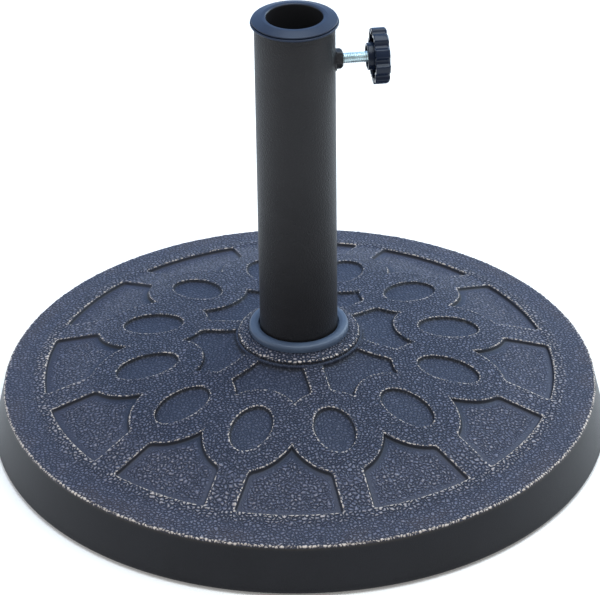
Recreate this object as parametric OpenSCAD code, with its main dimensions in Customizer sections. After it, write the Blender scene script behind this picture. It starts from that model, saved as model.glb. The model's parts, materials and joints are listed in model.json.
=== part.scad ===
// Round weighted parasol base with an ornamental cast top, a steel pole tube,
// and a clamp knob that turns on its screw and travels with it.
// Millimetres. The origin is the centre of the footprint, on the ground; +Z is up.
// The tube stands on the Z axis, and the clamp screw points along +X.

/* [Cast base] */
// Radius of the base at its bottom edge
base_r = 225; // [215:1:260]
// Height of the bottom edge above the ground, which is what the feet stand proud
foot_proud = 2; // [1:0.5:4]
// Radius of the top outer edge, less than the bottom because the side has draft
rim_r = 217.2; // [210:0.1:224]
// Height of the top outer edge above the ground
rim_z = 35.9; // [30:0.1:40]
// Wall thickness of the cast shell
shell_t = 7; // [5:0.5:9]

/* [Ornament] */
// Number of petals round the base, an even number
petal_count = 12; // [8:2:16]
// Angle from the clamp screw to the first petal; an inner spoke runs to every second one
petal_phase = 35.3; // [30:0.1:59]
// Distance of a petal's centre from the axis
petal_centre = 113; // [105:1:120]
// Half length of a petal along the radius
petal_long = 41.6; // [38:0.1:44]
// Half width of a petal
petal_wide = 33.9; // [31:0.1:36]
// Half length of the oval hollow inside a petal
oval_long = 22.8; // [18:0.1:26]
// Half width of the oval hollow
oval_wide = 14.3; // [11:0.1:17]
// Outer radius of the panels between the outer spokes
panel_r = 186.4; // [180:0.1:190]
// Half width of an outer spoke
outer_spoke = 10.9; // [8:0.1:13]
// Half width of an inner spoke
inner_spoke = 7.2; // [5:0.1:9]
// Depth of the panels and ovals below the raised pattern
relief = 2.1; // [1.5:0.1:3.5]

/* [Hub of the base] */
// Outer radius of the raised boss round the tube
boss_r = 44; // [42:0.5:46]
// Height of the boss's outer top edge above the ground
boss_edge_z = 74.6; // [73:0.1:76]
// Height of the boss's flat seat under the collar
seat_z = 77; // [76:0.5:80]
// Height of the socket floor, which the tube's foot stands on
socket_z = 44; // [40:1:48]

/* [Pole tube] */
// Outer radius of the steel tube
tube_r = 28.2; // [27:0.1:29]
// Wall thickness of the tube
tube_t = 1.5; // [1.2:0.1:1.6]
// Overall height of the part, to the top of the cap
total_h = 328; // [300:1:420]
// Radius of the hole for the pole
pole_hole_r = 19.75; // [19:0.05:20]
// Radius of the cap's flange
flange_r = 30.9; // [30:0.1:32]
// Height of the cap above the tube's end, at the pole hole
cap_t = 5.4; // [5:0.1:6]

/* [Clamp] */
// Distance of the clamp screw below the top of the cap
screw_drop = 35; // [28:1:40]
// Radius of the clamp screw, which is M8
screw_r = 4; // [4:1:4]
// Radius of the knob over its lobes
knob_r = 20; // [18:0.5:23]
// Number of lobes on the knob
knob_lobes = 10; // [6:1:12]
// Distance of the knob's hub face from the tube's axis
knob_x = 50.2; // [49:0.1:52]

/* [Hidden] */
FEET = 6;
$fn = 96;
play = 0.05;                          // radial clearance of a running or threaded fit
through = 1;                          // how far a cutter runs past the face it cuts

// Cast base
petal_pitch = 360 / petal_count;
edge_round = 2;                       // rounding of the top outer edge
dome_foot_z = 71.2;                   // height of the raised pattern where it meets the boss
boss_wall_r = boss_r + 2.2;           // foot of the boss's sloping wall
boss_flat_r = 38;                     // edge of the boss's flat seat
socket_r = tube_r + 0.4;
socket_wall = 6;
socket_floor_t = 5;
wall_top_z = rim_z - shell_t - 1;     // top of the shell's inner wall
shell_floor_drop = shell_t + relief;  // from the raised surface down to the shell's inner surface
neck_z = 56;                          // where the shell's inner surface meets the socket's wall
ballast_z = foot_proud + 1;           // underside of the ballast, just inside the bottom edge

// Feet
foot_r = 15;
foot_sole_r = 12.5;
foot_h = foot_proud + 2;
foot_ring_r = 192;

// Tube's foot and its fastening
tube_in_r = tube_r - tube_t;
tube_top = total_h - cap_t;
plate_t = 4;
plate_top = socket_z + plate_t;
plate_hole_r = 6.5;
anchor_r = 6;                         // M12
anchor_hole_r = 6.75;
anchor_flats = 19;
anchor_head_t = 7.5;
anchor_nut_t = 10;
anchor_top = plate_top + anchor_nut_t + 4;
pocket_r = 28;
pocket_z = 24;                        // ceiling of the pocket in the underside
washer_r = 20;
washer_t = 3;
spring_r = 10.6;
spring_t = 3;
spring_gap = 2;
washer_z = pocket_z - washer_t;
spring_z = washer_z - spring_t;

// Pole guide
guide_h = 50;
guide_floor = 18;                     // height of the floor that carries the pole
guide_pocket_r = 13;                  // room for the nut under that floor
guide_pocket_h = 15;
guide_lead_h = 8;                     // height of the funnel above the guide's bore

// Cap
sleeve_t = 2.3;
sleeve_len = 50;
skirt_t = 2;
skirt_len = 20;
cap_ribs = 6;
rib_t = 2;
sleeve_hole_r = 5.5;                  // lets the pad through the sleeve
hole_round = 1;
bead_round = 0.8;                     // rounding of the bead that hides the tube's end
disc_edge_r = flange_r - 0.9;         // edge of the sloping disc above that bead
disc_edge_h = 3;
disc_round = 0.7;

// Clamp
screw_z = total_h - screw_drop;
screw_flats = 13;
nut_x = 33.2;                         // outer face of the weld nut, from the tube's axis
pad_x = 20.2;                         // nose of the pad, just clear of the pole hole
pad_r = 4.5;
pad_len = 4.5;
pad_nose = 2;
tip_r = 2.5;                          // turned-down tip of the screw, which the pad turns on
tip_len = 2.95;
skirt_x = 54;                         // open edge of the knob's skirt
knob_out_x = 64.5;                    // outer face of the knob's moulding
knob_wall = 2.4;
knob_face_t = 3.5;
knob_ribs = 5;
notch_r = 4.5;
notch_depth = 2.3;
notch_phase = 42.5;                   // angle from straight up to the first notch
hub_r = 9.6;
hub_wall = 1.8;
hub_recess = 5;                       // depth of the recess in the hub's face
head_t = 5.3;
cover_r = 12.9;
cover_seat = 1.2;                     // depth of the cover's seat in the knob's face

// The raised surface of the dome as [radius, height] from the boss out to the rim:
// a short flare at the boss, then gentle, steepest in the middle and gentle again towards the rim.
dome = [[boss_wall_r, dome_foot_z], [54, 69.3], [70, 66.9], [95, 63.6], [127.3, 58.4], [152.5, 51.7],
        [170, 46], [panel_r, 40.8], [196, 39.2], [208, 37.4], [rim_r - edge_round, rim_z]];

function lowered(points, d) = [for (p = points) [p[0], p[1] - d]];
function reversed(list) = [for (i = [len(list) - 1:-1:0]) list[i]];
function arc(cx, cy, r, a0, a1, n = 4) = [for (i = [0:n]) let (a = a0 + (a1 - a0) * i / n)
    [cx + r * cos(a), cy + r * sin(a)]];
function ellipse(long, wide, n) = [for (i = [0:n - 1]) let (a = 360 * i / n)
    [long * cos(a), wide * sin(a)]];

// Radius of the shell's inner wall at a height; it follows the draft of the side
function inner_wall(z) =
    base_r - shell_t + (rim_r - base_r) * (z - foot_proud) / (wall_top_z - foot_proud);

// The shell's inner surface from its wall to the socket's floor, which the ballast fills up to
inner_surface = concat(
    [[inner_wall(wall_top_z), wall_top_z]],
    reversed(lowered([for (p = dome) if (p[0] < rim_r - shell_t) p], shell_floor_drop)),
    [[socket_r + socket_wall, neck_z], [socket_r + socket_wall, socket_z - socket_floor_t],
     [anchor_hole_r, socket_z - socket_floor_t]]);

module at_petals(step = 1)
    for (i = [0:step:petal_count - 1]) rotate(petal_phase + i * petal_pitch) children();

module petal_outlines() at_petals() translate([petal_centre, 0])
    polygon(ellipse(petal_long, petal_wide, 32));

module spokes(half_width, step) at_petals(step) translate([0, -half_width])
    square([base_r, 2 * half_width]);

// Everything that lies below the raised pattern, seen from above
module hollows() {
    difference() {
        circle(panel_r);
        circle(petal_centre);
        petal_outlines();
        spokes(outer_spoke, 1);
    }
    difference() {
        circle(petal_centre);
        circle(boss_wall_r + 0.5);
        petal_outlines();
        spokes(inner_spoke, 2);
    }
    at_petals() translate([petal_centre, 0]) polygon(ellipse(oval_long, oval_wide, 24));
}

// The layer from the floor of the hollows to just above the raised surface
module relief_layer() rotate_extrude()
    polygon(concat(lowered(dome, relief), reversed(lowered(dome, -2))));

module shell_outline() polygon(concat(
    [[base_r, foot_proud + 1.5], [base_r - 0.6, foot_proud + 0.3], [base_r - 1.5, foot_proud],
     [inner_wall(foot_proud), foot_proud]],
    inner_surface,
    [[anchor_hole_r, socket_z], [socket_r, socket_z], [socket_r, seat_z], [boss_flat_r, seat_z],
     [boss_r - 1.5, boss_edge_z + 0.3], [boss_r, boss_edge_z - 0.8], [boss_r + 0.5, dome_foot_z + 1.2]],
    dome,
    arc(rim_r - edge_round, rim_z - edge_round, edge_round, 80, 10)));

module base_shell() color("darkslategray") difference() {
    rotate_extrude() shell_outline();
    intersection() {
        linear_extrude(seat_z) hollows();
        relief_layer();
    }
}

module ballast_core() color("gray") difference() {
    rotate_extrude() polygon(concat([[pocket_r, ballast_z], [inner_wall(ballast_z), ballast_z]],
        inner_surface, [[anchor_hole_r, pocket_z], [pocket_r, pocket_z]]));
    for (i = [1:FEET]) foot_place(i) cylinder(r = foot_r, h = foot_h);
}

module foot_place(i) rotate(30 + 360 / FEET * (i - 1)) translate([foot_ring_r, 0, 0]) children();

// A rubber pad in a round recess of the underside, narrower at its sole
module foot(i) color("dimgray") foot_place(i) rotate_extrude() polygon([[0, 0], [foot_sole_r, 0],
    [foot_r - 1, foot_proud / 2], [foot_r, foot_proud + 0.5], [foot_r, foot_h], [0, foot_h]]);

// Quarter-round ring that covers the joint between the tube and the boss
module collar_ring() color("slategray") translate([0, 0, seat_z]) rotate_extrude() polygon(concat(
    [[tube_r + play, 0], [36.2, 0]],
    arc(31.2, 0.6, 5, 10, 90, 8),
    [[tube_r + 1.4, 5.3], [tube_r + 0.8, 4.8], [tube_r + 0.7, 2], [tube_r + play, 2]]));

module tube_ring(r, t, h) difference() {
    cylinder(r = r, h = h);
    translate([0, 0, -through]) cylinder(r = r - t, h = h + 2 * through);
}

module disc_ring(r, hole_r, h) tube_ring(r, r - hole_r, h);

module hexagon(across_flats, h) cylinder(r = across_flats / sqrt(3), h = h, $fn = 6);

// Places its children with their +Z axis along the clamp screw, x from the tube's axis
module along_screw(x) translate([x, 0, screw_z]) rotate([0, 90, 0]) children();

module pole_tube() color("#26272b") difference() {
    translate([0, 0, socket_z]) tube_ring(tube_r, tube_t, tube_top - socket_z);
    along_screw(tube_in_r - 3) cylinder(r = screw_r + 0.5, h = 8);
}

// Steel disc welded into the foot of the tube
module tube_foot_plate() color("dimgray") translate([0, 0, socket_z])
    disc_ring(tube_in_r, plate_hole_r, plate_t);

module foot_plate_nut() color("silver") translate([0, 0, plate_top]) difference() {
    hexagon(anchor_flats, anchor_nut_t);
    translate([0, 0, -through]) cylinder(r = anchor_r + play, h = anchor_nut_t + 2 * through);
}

module anchor_bolt() color("silver") {
    translate([0, 0, spring_z - anchor_head_t]) hexagon(anchor_flats, anchor_head_t);
    translate([0, 0, spring_z]) cylinder(r = anchor_r, h = anchor_top - spring_z);
}

module anchor_washer() color("silver") translate([0, 0, washer_z])
    disc_ring(washer_r, plate_hole_r, washer_t);

// Split ring, drawn flat as it is when tightened
module anchor_spring_washer() color("silver") translate([0, 0, spring_z]) difference() {
    disc_ring(spring_r, anchor_r + 0.2, spring_t);
    translate([0, -spring_gap / 2, -through]) cube([washer_r, spring_gap, spring_t + 2 * through]);
}

// Plastic cup at the foot of the tube that centres and carries the end of the pole
module pole_guide() color("#1d1e22") translate([0, 0, plate_top]) rotate_extrude() difference() {
    square([tube_in_r - 0.1, guide_h]);
    square([guide_pocket_r, guide_pocket_h]);
    translate([0, guide_floor]) square([pole_hole_r, guide_h]);
    polygon([[0, guide_h - guide_lead_h], [pole_hole_r, guide_h - guide_lead_h],
        [tube_in_r - 1, guide_h + through], [0, guide_h + through]]);
}

// Flange of the cap: a bead over the tube's end, a groove, and a disc that rises towards the pole hole
module cap_flange() translate([0, 0, tube_top]) rotate_extrude() polygon(concat(
    [[pole_hole_r, 0], [flange_r - bead_round, 0]],
    arc(flange_r - bead_round, bead_round, bead_round, -60, 80, 5),
    [[disc_edge_r - 0.5, disc_edge_h - 2 * disc_round]],
    arc(disc_edge_r - disc_round, disc_edge_h - disc_round, disc_round, -20, 75, 5),
    [[pole_hole_r + 2.4, cap_t - 0.1]],
    arc(pole_hole_r + hole_round, cap_t - hole_round, hole_round, 90, 180)));

// Plastic cap: a flange on the tube, a long ribbed sleeve for the pole and a short skirt
module top_cap() color("#20242e") difference() {
    union() {
        cap_flange();
        translate([0, 0, tube_top - sleeve_len]) tube_ring(pole_hole_r + sleeve_t, sleeve_t, sleeve_len);
        translate([0, 0, tube_top - skirt_len]) tube_ring(tube_in_r - 0.1, skirt_t, skirt_len);
        for (i = [0:cap_ribs - 1]) rotate((i + 0.5) * 360 / cap_ribs)
            translate([pole_hole_r + 1, -rib_t / 2, tube_top - sleeve_len + 4])
            cube([tube_in_r - pole_hole_r - 1.6, rib_t, sleeve_len - 4]);
    }
    along_screw(0) cylinder(r = sleeve_hole_r, h = tube_in_r + through);
}

// Hex nut welded to the tube over the clamp screw's hole, its inner face cut to the tube
module weld_nut() color("#2a2b30") difference() {
    along_screw(tube_r - 3) hexagon(screw_flats, nut_x - tube_r + 3);
    along_screw(tube_r - 4) cylinder(r = screw_r + play, h = nut_x);
    translate([0, 0, screw_z - knob_r]) cylinder(r = tube_r, h = 2 * knob_r);
}

// Nylon pad on the screw's tip; it presses on the pole and doesn't turn with the screw
module clamp_pad() color("ivory") difference() {
    along_screw(pad_x) cylinder(r = pad_r, h = pad_len);
    along_screw(pad_x + pad_nose) cylinder(r = tip_r + play, h = pad_len);
}

module clamp_screw() color("silver") {
    head_x = knob_out_x - cover_seat - head_t;
    tip_x = pad_x + pad_nose + play;
    along_screw(tip_x) cylinder(r = tip_r, h = tip_len);
    along_screw(tip_x + tip_len) cylinder(r = screw_r, h = head_x - tip_x - tip_len);
    along_screw(head_x) hexagon(screw_flats, head_t);
}

// Outline of the knob: a disc with a scallop between each pair of lobes
module knob_outline(r) difference() {
    circle(r);
    for (i = [0:knob_lobes - 1]) rotate(notch_phase + i * 360 / knob_lobes)
        translate([-r - notch_r + notch_depth, 0]) circle(notch_r);
}

module knob_body() color("#1f232d") difference() {
    union() {
        along_screw(knob_x) cylinder(r = hub_r, h = knob_out_x - knob_x);
        difference() {
            along_screw(skirt_x) linear_extrude(knob_out_x - skirt_x) knob_outline(knob_r);
            along_screw(skirt_x - through) linear_extrude(knob_out_x - skirt_x - knob_face_t + through)
                knob_outline(knob_r - knob_wall);
        }
        for (i = [0:knob_ribs - 1]) along_screw(skirt_x + 1.5)
            rotate(notch_phase + (i + 0.25) * 360 / knob_ribs)
            translate([1.5 - knob_r, -rib_t / 2, 0]) cube([knob_r - hub_r, rib_t, 7]);
    }
    along_screw(knob_x - through) cylinder(r = hub_r - hub_wall, h = hub_recess + through);
    along_screw(knob_x) cylinder(r = screw_r + 0.02, h = knob_out_x - knob_x);
    along_screw(knob_out_x - cover_seat - head_t) hexagon(screw_flats + 0.1, knob_out_x);
    along_screw(knob_out_x - cover_seat) cylinder(r = cover_r + 0.1, h = cover_seat + through);
}

// Domed disc that hides the head of the screw
module knob_cover() color("#1f232d") along_screw(knob_out_x - cover_seat) rotate_extrude() polygon(
    [[0, 0], [cover_r, 0], [cover_r, 1.2], [12.3, 1.7], [8, 2.4], [4, 2.7], [0, 2.8]]);

base_shell();
ballast_core();
for (i = [1:FEET]) foot(i);
collar_ring();
pole_tube();
tube_foot_plate();
foot_plate_nut();
anchor_bolt();
anchor_washer();
anchor_spring_washer();
pole_guide();
top_cap();
weld_nut();
clamp_pad();
clamp_screw();
knob_body();
knob_cover();
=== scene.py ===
"""Looks of a parasol base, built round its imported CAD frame.

The object's lengths are in millimetres, in the CAD frame, and meshes are scaled to metres as they are made.
The camera, the lights and the floor are placed in metres.
"""
import json
import math

import bmesh
import bpy
import numpy as np
from mathutils import Matrix, Vector, noise
from mathutils.geometry import delaunay_2d_cdt


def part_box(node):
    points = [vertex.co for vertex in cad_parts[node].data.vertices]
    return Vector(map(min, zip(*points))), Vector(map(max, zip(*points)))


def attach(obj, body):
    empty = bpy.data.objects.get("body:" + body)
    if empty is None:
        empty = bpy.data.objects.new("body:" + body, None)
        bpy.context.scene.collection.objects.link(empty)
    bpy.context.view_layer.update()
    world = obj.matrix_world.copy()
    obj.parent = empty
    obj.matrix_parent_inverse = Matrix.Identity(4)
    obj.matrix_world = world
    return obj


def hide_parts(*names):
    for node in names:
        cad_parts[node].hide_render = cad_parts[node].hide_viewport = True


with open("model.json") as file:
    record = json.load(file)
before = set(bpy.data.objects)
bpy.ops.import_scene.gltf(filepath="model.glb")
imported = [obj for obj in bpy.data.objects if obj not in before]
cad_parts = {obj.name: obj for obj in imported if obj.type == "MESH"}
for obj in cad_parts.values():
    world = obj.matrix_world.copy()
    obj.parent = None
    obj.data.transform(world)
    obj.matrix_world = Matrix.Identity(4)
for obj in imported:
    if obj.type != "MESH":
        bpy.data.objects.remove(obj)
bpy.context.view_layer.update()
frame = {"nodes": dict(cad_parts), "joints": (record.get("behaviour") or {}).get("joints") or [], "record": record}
scene = bpy.context.scene
MM = 0.001


# ---------------------------------------------------------------- sizes from the frame
def low_end(node, axis):
    return getattr(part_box(node)[0], axis) / MM


def high_end(node, axis):
    return getattr(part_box(node)[1], axis) / MM


BASE_R = high_end("base_shell", "x")
FOOT_PROUD = low_end("base_shell", "z")
SEAT_Z = high_end("base_shell", "z")
TUBE_R = high_end("pole_tube", "x")
TUBE_FOOT = low_end("pole_tube", "z")
TUBE_TOP = high_end("pole_tube", "z")
HOLE_R = frame["record"]["mounts"][0]["dims"]["r_mm"]
CAP_R = high_end("top_cap", "x")
CAP_TOP = high_end("top_cap", "z")
NUT_X = high_end("weld_nut", "x")
KNOB_X = low_end("knob_body", "x")
KNOB_OUT_X = high_end("knob_body", "x")
SCREW_Z = frame["joints"][1]["pos_m"][2] / MM


# ---------------------------------------------------------------- camera
def make_camera():
    """A long lens that looks down on the base from its front, with the clamp to the right."""
    data = bpy.data.cameras.new("camera")
    data.lens = 186.1
    data.sensor_width = 36
    data.clip_end = 20
    camera = bpy.data.objects.new("camera", data)
    scene.collection.objects.link(camera)
    azimuth = math.radians(-7)
    pan = math.radians(-0.034)
    tilt = math.radians(30.97)
    roll = math.radians(-0.8)
    stand_off, height = 1.927, 1.2587
    camera.matrix_world = (
        Matrix.Rotation(azimuth, 4, "Z")
        @ Matrix.Translation((0, -stand_off, height))
        @ Matrix.Rotation(pan, 4, "Z")
        @ Matrix.Rotation(math.pi / 2 - tilt, 4, "X")
        @ Matrix.Rotation(roll, 4, "Z")
    )
    scene.camera = camera


# ---------------------------------------------------------------- light and floor
ROOM_STOPS = (
    # share of the way from the camera's side to the far side, colour
    (0.0, (0.40, 0.40, 0.41)),
    (0.48, (0.62, 0.63, 0.65)),
    (0.72, (0.58, 0.77, 1.04)),
    (1.0, (0.46, 0.72, 1.22)),
)
SOFTBOXES = (
    # name, place, target, size, power, colour
    ("overhead", (0.2, -0.1, 1.8), (0, 0, 0), 1.5, 31, (0.80, 0.91, 1.0)),
    ("right_side", (1.3, 0.8, 0.9), (0, 0, 0.1), 0.9, 15, (0.72, 0.88, 1.0)),
    ("left_side", (-1.6, 0.0, 0.6), (0, 0, 0.1), 0.9, 3, (0.9, 0.95, 1.0)),
)


def make_room():
    """Plain surroundings, from grey on the camera's side to a brighter blue on the far side."""
    scene.view_settings.view_transform = "Standard"
    world = bpy.data.worlds.new("room")
    world.use_nodes = True
    scene.world = world
    tree = world.node_tree
    tree.nodes.clear()
    direction = tree.nodes.new("ShaderNodeTexCoord")
    split = tree.nodes.new("ShaderNodeSeparateXYZ")
    share = tree.nodes.new("ShaderNodeMapRange")
    share.inputs["From Min"].default_value = -1
    ramp = tree.nodes.new("ShaderNodeValToRGB")
    while len(ramp.color_ramp.elements) < len(ROOM_STOPS):
        ramp.color_ramp.elements.new(0.5)
    for element, (position, colour) in zip(ramp.color_ramp.elements, ROOM_STOPS):
        element.position = position
        element.color = rgba(colour)
    back = tree.nodes.new("ShaderNodeBackground")
    out = tree.nodes.new("ShaderNodeOutputWorld")
    tree.links.new(direction.outputs["Generated"], split.inputs[0])
    tree.links.new(split.outputs["Y"], share.inputs["Value"])
    tree.links.new(share.outputs["Result"], ramp.inputs["Fac"])
    tree.links.new(ramp.outputs["Color"], back.inputs["Color"])
    tree.links.new(back.outputs[0], out.inputs[0])


def make_floor():
    """A pale floor that is far larger than the view."""
    half = 6.0
    corners = [(-half, -half, 0), (half, -half, 0), (half, half, 0), (-half, half, 0)]
    mesh = bpy.data.meshes.new("floor")
    mesh.from_pydata(corners, [], [(0, 1, 2, 3)])
    floor = bpy.data.objects.new("floor", mesh)
    scene.collection.objects.link(floor)
    floor.data.materials.append(floor_white())


def add_softbox(name, place, target, size, power, colour):
    """A square area light that faces its target."""
    data = bpy.data.lights.new(name, "AREA")
    data.shape = "SQUARE"
    data.size = size
    data.energy = power
    data.color = colour
    light = bpy.data.objects.new(name, data)
    scene.collection.objects.link(light)
    light.location = place
    light.rotation_euler = (Vector(target) - Vector(place)).to_track_quat("-Z", "Y").to_euler()


# ---------------------------------------------------------------- node materials
class Nodes:
    """Short calls for building one material's node tree."""

    def __init__(self, name):
        self.material = bpy.data.materials.new(name)
        self.material.use_nodes = True
        self.tree = self.material.node_tree
        self.shader = self.tree.nodes["Principled BSDF"]

    def add(self, kind, **inputs):
        node = self.tree.nodes.new("ShaderNode" + kind)
        for key, value in inputs.items():
            self.feed(node.inputs[key.replace("_", " ")], value)
        return node

    def feed(self, socket, value):
        if isinstance(value, bpy.types.NodeSocket):
            self.tree.links.new(value, socket)
        else:
            socket.default_value = value

    def math(self, operation, a, b, clamp=False):
        node = self.tree.nodes.new("ShaderNodeMath")
        node.operation = operation
        node.use_clamp = clamp
        self.feed(node.inputs[0], a)
        self.feed(node.inputs[1], b)
        return node.outputs[0]

    def times(self, a, b, clamp=False):
        return self.math("MULTIPLY", a, b, clamp)

    def plus(self, a, b):
        return self.math("ADD", a, b)

    def minus(self, a, b):
        return self.math("SUBTRACT", a, b)

    def step(self, value, low, high, start=0.0, end=1.0):
        """Goes softly from start to end as the value goes from low to high."""
        node = self.add("MapRange", Value=value, From_Min=low, From_Max=high, To_Min=start, To_Max=end)
        node.interpolation_type = "SMOOTHSTEP"
        return node.outputs["Result"]

    def mix(self, factor, a, b):
        node = self.tree.nodes.new("ShaderNodeMix")
        node.data_type = "RGBA"
        self.feed(node.inputs["Factor"], factor)
        self.feed(node.inputs["A"], rgba(a))
        self.feed(node.inputs["B"], rgba(b))
        return node.outputs["Result"]

    def attribute(self, name):
        node = self.tree.nodes.new("ShaderNodeAttribute")
        node.attribute_name = name
        return node.outputs["Fac"]

    def place(self):
        return self.tree.nodes.new("ShaderNodeTexCoord").outputs["Object"]

    def radius(self, vector):
        """Distance from the tube's axis."""
        flat = self.add("VectorMath")
        flat.operation = "MULTIPLY"
        self.feed(flat.inputs[0], vector)
        flat.inputs[1].default_value = (1, 1, 0)
        length = self.add("VectorMath")
        length.operation = "LENGTH"
        self.feed(length.inputs[0], flat.outputs[0])
        return length.outputs["Value"]

    def noise(self, vector, size_mm, detail=2.0, rough=0.5):
        node = self.add("TexNoise", Vector=vector, Scale=1 / (size_mm * MM), Detail=detail, Roughness=rough)
        return node.outputs["Fac"]

    def warped(self, vector, size_mm, reach_mm):
        """The vector, moved about by a soft noise."""
        drift = self.add("TexNoise", Vector=vector, Scale=1 / (size_mm * MM), Detail=1.0)
        moved = self.add("VectorMath")
        moved.operation = "MULTIPLY_ADD"
        self.feed(moved.inputs[0], drift.outputs["Color"])
        moved.inputs[1].default_value = (reach_mm * MM,) * 3
        self.feed(moved.inputs[2], vector)
        return moved.outputs[0]

    def pebbles(self, vector, size_mm):
        """Distance to the nearest gap between pebbles, 0 to about 0.5, and a random tone for each pebble."""
        edge = self.tree.nodes.new("ShaderNodeTexVoronoi")
        edge.voronoi_dimensions = "2D"
        edge.feature = "DISTANCE_TO_EDGE"
        cell = self.tree.nodes.new("ShaderNodeTexVoronoi")
        cell.voronoi_dimensions = "2D"
        for node in (edge, cell):
            node.inputs["Scale"].default_value = 1 / (size_mm * MM)
            self.feed(node.inputs["Vector"], vector)
        red = self.tree.nodes.new("ShaderNodeSeparateColor")
        self.feed(red.inputs[0], cell.outputs["Color"])
        return edge.outputs["Distance"], red.outputs["Red"]

    def blend(self, share, a, b):
        """Like mix, for plain numbers."""
        node = self.tree.nodes.new("ShaderNodeMix")
        self.feed(node.inputs[0], share)
        self.feed(node.inputs[2], a)
        self.feed(node.inputs[3], b)
        return node.outputs[0]

    def bump(self, height, depth_mm):
        return self.add("Bump", Height=height, Strength=1.0, Distance=depth_mm * MM).outputs["Normal"]

    def surface(self, **inputs):
        """Feeds the shader's sockets and gives the finished material."""
        for key, value in inputs.items():
            self.feed(self.shader.inputs[key.replace("_", " ")], value)
        return self.material


def rgba(colour):
    if isinstance(colour, bpy.types.NodeSocket):
        return colour
    return (*colour, 1.0)


def floor_white():
    """Matt white that glows a little, so that the floor stays pale under the object."""
    n = Nodes("floor_white")
    tone = n.mix(n.noise(n.place(), 300, 2), (0.88, 0.85, 0.81), (0.90, 0.87, 0.83))
    glow = (1.0, 0.99, 0.97, 1)
    return n.surface(Base_Color=tone, Roughness=0.9, Specular_IOR_Level=0.1, Emission_Color=glow,
                     Emission_Strength=0.16)


def cast_resin():
    """Navy resin with a leathery grain, bronze wear on its edges and crests, and a smooth charcoal side.

    It reads the attributes that paint_base sets.
    """
    n = Nodes("cast_resin_material")
    place = n.place()
    radius = n.radius(place)
    grain, coarse = n.attribute("grain"), n.attribute("coarse")
    wear, cavity, side = n.attribute("wear"), n.attribute("cavity"), n.attribute("side")
    cloud = n.noise(place, 55, 3, 0.55)
    patch = n.noise(place, 11, 2, 0.5)

    # Pebbles: their crests, and the grooves between them
    wandering = n.warped(place, 3.4, 3.2)
    fine_gap, fine_tone = n.pebbles(wandering, 2.65)
    large_gap, large_tone = n.pebbles(wandering, 3.05)
    gap = n.blend(coarse, fine_gap, large_gap)
    tone = n.blend(coarse, fine_tone, large_tone)
    crest = n.step(gap, 0.07, 0.36)
    groove = n.step(gap, 0.03, 0.20, 1, 0)
    lit = n.times(n.step(patch, 0.25, 0.75, 0.7, 1.0), n.step(tone, 0.0, 1.0, 0.7, 1.0))
    crest_share = n.times(crest, n.times(grain, lit), clamp=True)

    # Colour of the top: navy, dustier towards the rim, with brown patches on the outer band
    dark_navy, light_navy = (0.0170, 0.0245, 0.0485), (0.0225, 0.0310, 0.0585)
    smooth_navy = (0.0085, 0.0140, 0.0310)
    dust, brown = (0.063, 0.064, 0.092), (0.052, 0.042, 0.046)
    groove_black, crest_blue = (0.007, 0.009, 0.017), (0.124, 0.128, 0.184)
    base = n.mix(n.step(cloud, 0.3, 0.7), dark_navy, light_navy)
    base = n.mix(n.step(grain, 0.0, 0.6), smooth_navy, base)
    base = n.mix(n.step(radius, 135 * MM, 165 * MM, 0.06, 0.52), base, dust)
    base = n.mix(n.times(groove, n.times(grain, 0.8)), base, groove_black)
    on_band = n.step(radius, 198 * MM, 210 * MM)
    brown_patch = n.step(n.noise(place, 34, 2), 0.42, 0.62)
    base = n.mix(n.times(n.times(on_band, brown_patch), 0.45), base, brown)
    base = n.mix(crest_share, base, crest_blue)

    # Bronze where the coat is worn off, on the crests first; then near-black painted shade in corners, at the feet
    # of walls and under the collar
    dull_bronze, bright_bronze = (0.150, 0.140, 0.170), (0.60, 0.51, 0.44)
    painted_shade_black = (0.007, 0.0065, 0.007)
    speck = n.step(n.noise(place, 1.5, 2, 0.6), 0.32, 0.68)
    height = n.plus(n.times(crest, 0.65), n.times(speck, 0.35))
    bare_from = n.minus(1.0, wear)
    bare = n.step(height, bare_from, n.plus(bare_from, 0.40))
    bare = n.times(bare, n.step(gap, 0.02, 0.12, 0.35, 1.0))
    base = n.mix(bare, base, n.mix(n.step(wear, 0.3, 0.9), dull_bronze, bright_bronze))
    # Painted shade: near-black mixed in where corners, the feet of walls and the boss under the collar would lie
    # in shade
    base = n.mix(n.times(cavity, 0.85), base, painted_shade_black)

    # Side: charcoal, stained brown just under the rim
    dark_charcoal, light_charcoal = (0.0045, 0.0043, 0.0065), (0.0066, 0.0064, 0.0092)
    stain = (0.028, 0.022, 0.017)
    charcoal = n.mix(n.step(cloud, 0.3, 0.7), dark_charcoal, light_charcoal)
    level = n.add("SeparateXYZ", Vector=place).outputs["Z"]
    stained = n.times(n.step(level, 32 * MM, 34.6 * MM), n.step(patch, 0.3, 0.7, 0.5, 1.0))
    charcoal = n.mix(n.times(stained, 0.8), charcoal, stain)
    base = n.mix(side, base, charcoal)

    rough = n.blend(side, n.minus(0.56, n.times(crest_share, 0.16)), 0.42)
    pebble_height = n.times(n.step(gap, 0.0, 0.40), grain)
    fine_height = n.times(n.noise(place, 0.8, 2, 0.6), 0.10)
    normal = n.bump(n.plus(pebble_height, fine_height), 1.3)
    return n.surface(Base_Color=base, Roughness=rough, Specular_IOR_Level=0.26, Normal=normal)


def powder_coat():
    """Black powder coat with a fine orange peel."""
    n = Nodes("powder_coat_material")
    place = n.place()
    peel = n.noise(place, 1.1, 2, 0.5)
    cloud = n.noise(place, 45, 2, 0.5)
    colour = n.mix(n.step(cloud, 0.3, 0.7), (0.0115, 0.0105, 0.0112), (0.0152, 0.0139, 0.0148))
    rough = n.plus(n.times(peel, 0.12), 0.40)
    return n.surface(Base_Color=colour, Roughness=rough, Specular_IOR_Level=0.32, Normal=n.bump(peel, 0.5))


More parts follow.
